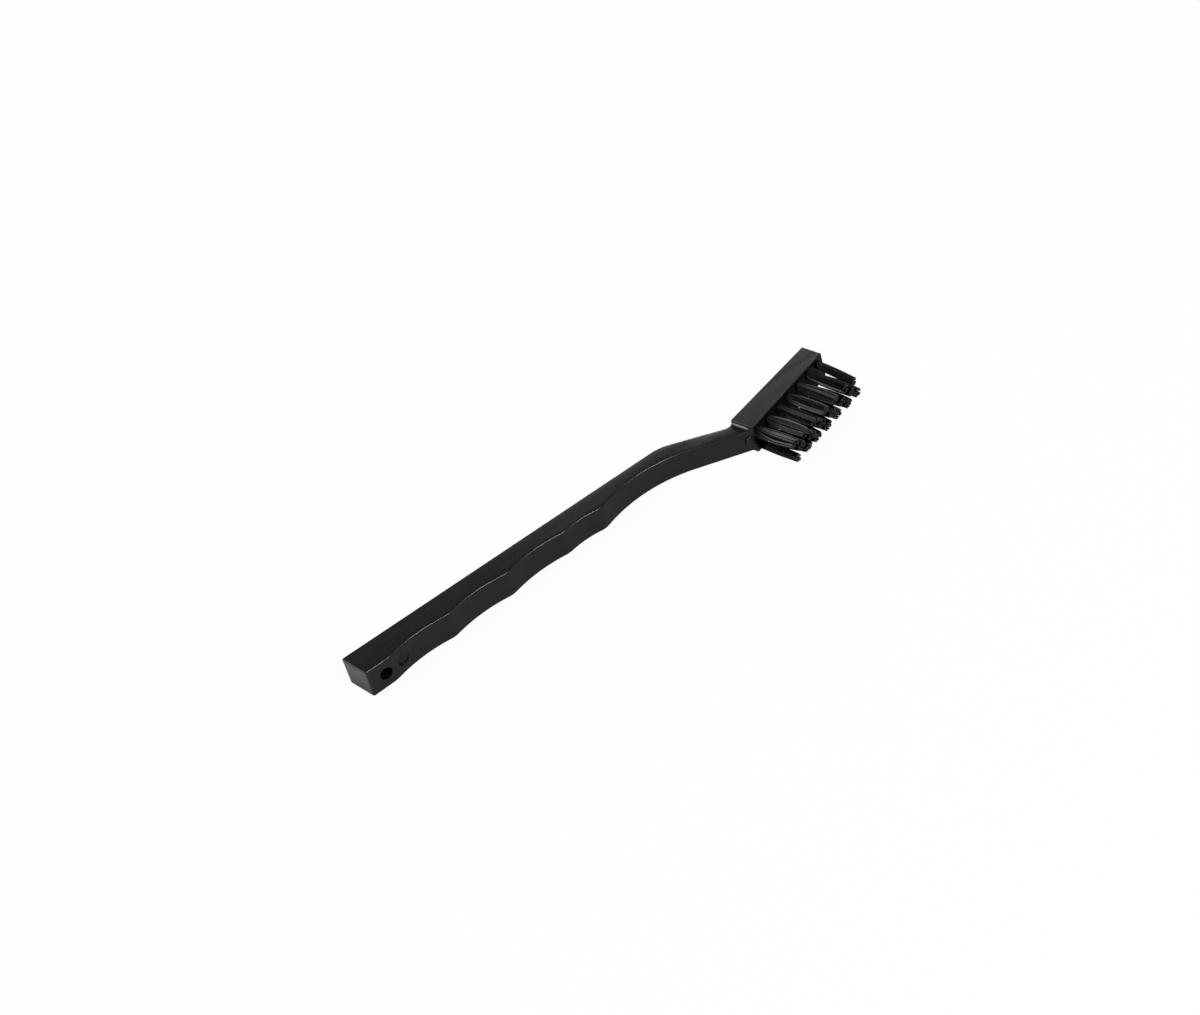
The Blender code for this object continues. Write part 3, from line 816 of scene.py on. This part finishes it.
def conductive_nylon(finish):
    """Black carbon-filled bristles: dark or grey, with painted shade that keeps them darker at the
    root, greyer at the cut end.
    """
    material, nodes, links, shader = node_tree("conductive_nylon")
    tone = attribute(nodes, "strand")
    along = attribute(nodes, "along")
    base = Vector(finish.nylon)
    # Painted shade: near its root a bristle keeps only a share of its grey
    grey = maths(
        nodes,
        links,
        "MULTIPLY",
        ranged(nodes, links, tone, *finish.nylon_tones, 0.0, 1.0),
        ranged(nodes, links, along, *finish.painted_root_shade_span, finish.root_grey_under_painted_shade, 1.0),
    )
    cut = ranged(nodes, links, along, finish.cut_start, 1.0, 0.0, 1.0)
    body = colour_mix(nodes, links, cut, base * finish.cut_shade)
    links.new(shaded(nodes, links, grey, base, finish.nylon_shades), body.inputs["A"])
    links.new(body.outputs["Result"], shader.inputs["Base Color"])
    source = nodes.new("ShaderNodeTexCoord")
    streaks = noise(nodes, links, source, scale=900.0, detail=3.0)
    streaked = maths(
        nodes,
        links,
        "MULTIPLY",
        ranged(nodes, links, streaks, *NOISE_SPAN, *finish.nylon_streaks),
        ranged(nodes, links, tone, 0.0, 1.0, *finish.nylon_roughness),
    )
    smoother = ranged(nodes, links, along, *finish.smooth_rise, finish.root_smooth, 1.0)
    links.new(maths(nodes, links, "MULTIPLY", streaked, smoother), shader.inputs["Roughness"])
    shader.inputs["Specular IOR Level"].default_value = finish.nylon_gloss
    return material


def anchor_wire(finish):
    """Flat drawn wire: bright metal with fine lines along its length."""
    material, nodes, links, shader = node_tree("anchor_wire")
    source = nodes.new("ShaderNodeTexCoord")
    lines = noise(nodes, links, source, scale=5000.0, detail=2.0, stretch=(0.05, 1.0, 1.0))
    body = shaded(nodes, links, lines, Vector(finish.wire), finish.wire_shades)
    links.new(body, shader.inputs["Base Color"])
    roughness = ranged(nodes, links, lines, *NOISE_SPAN, *finish.wire_roughness)
    links.new(roughness, shader.inputs["Roughness"])
    shader.inputs["Metallic"].default_value = 1.0
    return material


def seen_white(name, stage):
    """A pale surface that the camera sees as nearly white, and that still takes a shadow.
    Reflections see it glow, with painted light under the hanging end and painted shade under the
    tufts.
    """
    material, nodes, links, _ = node_tree(name)
    nodes.clear()
    pale = nodes.new("ShaderNodeBsdfDiffuse")
    light = nodes.new("ShaderNodeEmission")
    light.inputs["Color"].default_value = (1.0, 1.0, 1.0, 1.0)
    path = nodes.new("ShaderNodeLightPath")
    camera_ray = path.outputs["Is Camera Ray"]
    seen = ranged(nodes, links, camera_ray, 0.0, 1.0, 0.0, stage.floor_white)
    glossy_ray = path.outputs["Is Glossy Ray"]
    mirrored = ranged(nodes, links, glossy_ray, 0.0, 1.0, 0.0, stage.floor_mirrored)
    place = nodes.new("ShaderNodeSeparateXYZ")
    links.new(nodes.new("ShaderNodeTexCoord").outputs["Object"], place.inputs["Vector"])
    # Painted light and shade: the floor's glow in reflections steps along X, bright under the
    # hanging end and dim under the tufts
    painted_glow_levels = [ranged(nodes, links, place.outputs["X"], *step) for step in PAINTED_FLOOR_GLOW]
    level = maths(nodes, links, "MULTIPLY", *painted_glow_levels)
    links.new(maths(nodes, links, "MAXIMUM", camera_ray, level), light.inputs["Strength"])
    tone = ranged(nodes, links, camera_ray, 0.0, 1.0, stage.floor_pale, 1.0)
    links.new(tone, pale.inputs["Color"])
    mix = nodes.new("ShaderNodeMixShader")
    links.new(maths(nodes, links, "MAXIMUM", seen, mirrored), mix.inputs["Fac"])
    links.new(pale.outputs["BSDF"], mix.inputs[1])
    links.new(light.outputs["Emission"], mix.inputs[2])
    output = nodes.new("ShaderNodeOutputMaterial")
    links.new(mix.outputs["Shader"], output.inputs["Surface"])
    return material


def direct_rays(nodes, links, path):
    """1 for camera, glossy and transmission rays, and 0 for the rest."""
    total = path.outputs["Is Camera Ray"]
    for name in ("Is Glossy Ray", "Is Transmission Ray"):
        total = maths(nodes, links, "MAXIMUM", total, path.outputs[name])
    return total


class BRUSH_OT_handle(Operator):
    """Models the handle in one moulding, with its bore, pin marks and tuft holes"""

    bl_idname = "brush.handle"
    bl_label = "Handle"

    def execute(self, context):
        scene = context.scene
        grip, neck, head = scene.brush_grip, scene.brush_neck, scene.brush_head
        place = HeadPlace(head)
        view = SideView(grip, neck, head, place.tilt)
        shift = place.face_near - view.face_near.to_3d()

        stock, pin_cutter = pin_marks(grip, neck, view)
        bore = bmesh.new()
        through = Matrix.Translation((grip.bore_place, CUT_OVERRUN, 0.0))
        through @= Matrix.Rotation(math.pi / 2, 4, "X")
        add_cylinder(bore, through, grip.bore, grip.end_depth + 2 * CUT_OVERRUN, BORE_SIDES)
        meshes = [
            ("UNION", "head_block", head_block(head, view)),
            ("DIFFERENCE", "pin_ends", pin_cutter),
            ("UNION", "pin_stock", stock),
            ("DIFFERENCE", "bore", bore),
        ]
        slab = neck_slab(grip, neck, head, view)
        for bm in [slab] + [made for _, _, made in meshes]:
            bmesh.ops.translate(bm, verts=bm.verts, vec=shift)

        holes = bmesh.new()
        slots = bmesh.new()
        for name in TUFT_ENDS:
            mouth = place.hole_matrix(name)
            bottom = mouth @ Matrix.Translation((0.0, 0.0, -head.hole_depth))
            add_cylinder(holes, bottom, head.hole, head.hole_depth + CUT_OVERRUN, HOLE_SIDES)
            anchor = mouth @ Matrix.Translation((0.0, 0.0, -place.anchor_depth))
            low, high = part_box("anchor_" + name)
            room = 2 * head.anchor_room
            thickness = high[2] - low[2] + room
            add_box(slots, anchor, (head.anchor_width + room, thickness, head.anchor_height + room))
        meshes.append(("DIFFERENCE", "holes", holes))
        meshes.append(("DIFFERENCE", "slots", slots))

        handle = mesh_object("moulded_handle", slab)
        handle.data.materials.append(conductive_plastic(scene.brush_finish))
        tools = [(operation, mesh_object(name, bm)) for operation, name, bm in meshes]
        for _, tool in tools:
            if tool.name == "bore":
                tool.data.materials.append(bore_wall(scene.brush_finish))
        combine(handle, tools)
        shade_smooth(handle, SMOOTH_ANGLE)
        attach(handle, "root")
        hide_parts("handle")
        return {"FINISHED"}


def filament_template(bm, bristle, along_layer):
    """One straight bristle of unit length along +Z, with rings to bend it at."""
    add_cylinder(bm, Matrix.Identity(4), bristle.filament, 1.0, BRISTLE_SIDES)
    rising = [edge for edge in bm.edges if abs(edge.verts[0].co.z - edge.verts[1].co.z) > MOSTLY]
    bmesh.ops.subdivide_edges(bm, edges=rising, cuts=BRISTLE_CUTS)
    for vert in bm.verts:
        vert[along_layer] = vert.co.z
    return bm.verts[:], bm.edges[:], bm.faces[:]


def clump_places(bristle, packed, chance):
    """Each clump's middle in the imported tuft, its tone, its extra length and how it swells out."""
    clumps = []
    for number in range(bristle.clumps):
        angle = 2 * math.pi * (number + CLUMP_STRAY * chance.random()) / (bristle.clumps - 1)
        middle = polar(CLUMP_RING * packed if number else 0.0, angle)
        swell = polar(bristle.swell * chance.random(), angle)
        tone = chance.random()
        longer = bristle.raggedness * chance.uniform(*CLUMP_LENGTHS)
        clumps.append((middle, tone, longer, swell))
    return clumps


def tuft_bmesh(bristle, lean, width, belly, bow, seed):
    """A tuft about its hole's mouth: packed in the hole, parted in two, clumped and splayed."""
    chance = random.Random(seed)
    bm = bmesh.new()
    along_layer = bm.verts.layers.float.new("along")
    strand_layer = bm.verts.layers.float.new("strand")
    verts, edges, faces = filament_template(bm, bristle, along_layer)
    template = verts + edges + faces
    golden = math.pi * (3 - math.sqrt(5))
    packed = bristle.bundle / 2 - bristle.filament / 2
    clumps = clump_places(bristle, packed, chance)
    part_line = packed * chance.uniform(*PART_LINE)
    for number in range(bristle.count):
        root = polar(packed * math.sqrt((number + 0.5) / bristle.count), number * golden)
        nearest = min(clumps, key=lambda clump: (clump[0] - root).length)
        middle, clump_tone, longer, swell = nearest
        spread = root.lerp(middle, bristle.gather)
        spread.x *= (width - bristle.parting - bristle.filament) / (2 * packed)
        spread.x += math.copysign(bristle.parting / 2, root.x - part_line)
        spread.y *= (bristle.across - bristle.filament) / (2 * packed)
        spread += polar(bristle.wander * chance.random(), chance.uniform(0.0, 2 * math.pi))
        top = bristle.reach + longer + bristle.raggedness * chance.uniform(*BRISTLE_LENGTHS)
        bend = polar(bristle.bend * chance.random(), chance.uniform(0.0, 2 * math.pi))
        bend += swell
        bend.x += bow + belly * middle.x / packed
        tone = CLUMP_TONE * clump_tone + (1 - CLUMP_TONE) * chance.random()
        copied = bmesh.ops.duplicate(bm, geom=template)
        for vert in copied["geom"]:
            if not isinstance(vert, bmesh.types.BMVert):
                continue
            height = -bristle.sunk + (top + bristle.sunk) * vert.co.z
            share = min(max(height / top, 0.0), 1.0)
            opened = 1 - (1 - share) ** bristle.opening
            place = root.lerp(spread, opened) + lean * share + bend * math.sin(math.pi * share)
            vert.co.x += place.x
            vert.co.y += place.y
            vert.co.z = height
            vert[strand_layer] = tone
    bmesh.ops.delete(bm, geom=verts, context="VERTS")
    return bm


class BRUSH_OT_tufts(Operator):
    """Models each tuft as a bundle of bristles that leaves its own hole"""

    bl_idname = "brush.tufts"
    bl_label = "Tufts"

    def execute(self, context):
        scene = context.scene
        bristle = scene.brush_bristles
        head = scene.brush_head
        place = HeadPlace(head)
        material = conductive_nylon(scene.brush_finish)
        reach = (node_middle("anchor_upper_7") - node_middle("anchor_upper_1")).length
        pitch = reach / (OUTER_TUFTS - 1)
        for seed, (name, (ahead, up, width, belly, bow)) in enumerate(TUFT_ENDS.items()):
            mouth = place.hole_matrix(name)
            distance = (mouth.translation - place.face_near).dot(place.along) - head.first_tuft
            lean_back = -bristle.first_lean - bristle.lean_gain * distance / pitch
            lean = Vector((lean_back + ahead * MM, up * MM * place.across.z))
            bm = tuft_bmesh(bristle, lean, width * MM, belly * MM, bow * MM, seed)
            bmesh.ops.transform(bm, matrix=mouth, verts=bm.verts)
            tuft = mesh_object("bristles_" + name, bm)
            tuft.data.shade_smooth()
            tuft.data.set_sharp_from_angle(angle=math.radians(BRISTLE_ANGLE))
            tuft.data.materials.append(material)
            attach(tuft, "root")
            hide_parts("tuft_" + name)
        return {"FINISHED"}


class BRUSH_OT_anchors(Operator):
    """Gives the anchors in the tuft holes their drawn metal"""

    bl_idname = "brush.anchors"
    bl_label = "Anchors"

    def execute(self, context):
        material = anchor_wire(context.scene.brush_finish)
        for name in TUFT_ENDS:
            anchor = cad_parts["anchor_" + name]
            anchor.data.materials.clear()
            anchor.data.materials.append(material)
        return {"FINISHED"}


class BRUSH_OT_stage(Operator):
    """Sets the floor, the lamps, the world and the camera"""

    bl_idname = "brush.stage"
    bl_label = "Stage"

    def execute(self, context):
        scene = context.scene
        stage = scene.brush_stage
        bm = bmesh.new()
        bmesh.ops.create_grid(bm, x_segments=1, y_segments=1, size=stage.floor_size / 2)
        floor = mesh_object("floor", bm)
        floor.data.materials.append(seen_white("pale_floor", stage))
        self.add_world(scene, stage)
        for name, (place, size, power) in LAMPS.items():
            self.add_lamp(name, place, size, power)
        self.add_camera(scene, stage)
        scene.view_settings.view_transform = "Standard"
        return {"FINISHED"}

    def add_world(self, scene, stage):
        """White for the camera, a dim low sweep for reflections, and faint light for the rest."""
        world = bpy.data.worlds.new("studio")
        scene.world = world
        world.use_nodes = True
        nodes = world.node_tree.nodes
        links = world.node_tree.links
        background = nodes["Background"]
        background.inputs["Color"].default_value = (1.0, 1.0, 1.0, 1.0)
        path = nodes.new("ShaderNodeLightPath")
        direction = nodes.new("ShaderNodeSeparateXYZ")
        links.new(nodes.new("ShaderNodeTexCoord").outputs["Generated"], direction.inputs["Vector"])
        sweep = ranged(nodes, links, direction.outputs["Z"], *stage.sweep_heights, stage.sweep, 0.0)
        reflected = maths(nodes, links, "MULTIPLY", direct_rays(nodes, links, path), sweep)
        seen = maths(nodes, links, "MAXIMUM", path.outputs["Is Camera Ray"], reflected)
        level = ranged(nodes, links, seen, 0.0, 1.0, stage.ambient, 1.0)
        links.new(level, background.inputs["Strength"])

    def add_lamp(self, name, place, size, power):
        """A square soft lamp that looks at the brush."""
        lamp = bpy.data.lights.new(name, "AREA")
        lamp.energy = power
        lamp.size = size
        thing = bpy.data.objects.new(name, lamp)
        thing.location = place
        thing.rotation_euler = Vector(place).to_track_quat("Z", "Y").to_euler()
        bpy.context.scene.collection.objects.link(thing)

    def add_camera(self, scene, stage):
        """The camera of the photograph."""
        data = bpy.data.cameras.new("camera")
        data.sensor_width = SENSOR_WIDTH
        data.lens = stage.focal_pixels / PHOTO_WIDTH * data.sensor_width
        camera = bpy.data.objects.new("camera", data)
        right = Vector(stage.camera_right).normalized()
        back = -Vector(stage.camera_ahead).normalized()
        up = back.cross(right)
        turn = Matrix((right, up, back)).transposed().to_4x4()
        camera.matrix_world = Matrix.Translation(stage.camera_place) @ turn
        scene.collection.objects.link(camera)
        scene.camera = camera


class BRUSH_PT_panel(Panel):
    """Lists the brush's operators"""

    bl_idname = "BRUSH_PT_panel"
    bl_label = "Anti-static Brush"
    bl_space_type = "VIEW_3D"
    bl_region_type = "UI"
    bl_category = "Brush"

    def draw(self, context):
        for operator in OPERATORS:
            self.layout.operator(operator.bl_idname)


SETTINGS = {
    "brush_grip": GripSizes,
    "brush_neck": NeckSizes,
    "brush_head": HeadSizes,
    "brush_bristles": BristleSizes,
    "brush_finish": FinishSettings,
    "brush_stage": StageSettings,
}
OPERATORS = (BRUSH_OT_handle, BRUSH_OT_tufts, BRUSH_OT_anchors, BRUSH_OT_stage)


def register():
    for name, group in SETTINGS.items():
        bpy.utils.register_class(group)
        setattr(bpy.types.Scene, name, PointerProperty(type=group))
    for operator in OPERATORS:
        bpy.utils.register_class(operator)
    bpy.utils.register_class(BRUSH_PT_panel)


def unregister():
    bpy.utils.unregister_class(BRUSH_PT_panel)
    for operator in reversed(OPERATORS):
        bpy.utils.unregister_class(operator)
    for name, group in reversed(SETTINGS.items()):
        delattr(bpy.types.Scene, name)
        bpy.utils.unregister_class(group)


def main():
    register()
    bpy.ops.brush.handle()
    bpy.ops.brush.tufts()
    bpy.ops.brush.anchors()
    bpy.ops.brush.stage()


if __name__ == "__main__":
    main()
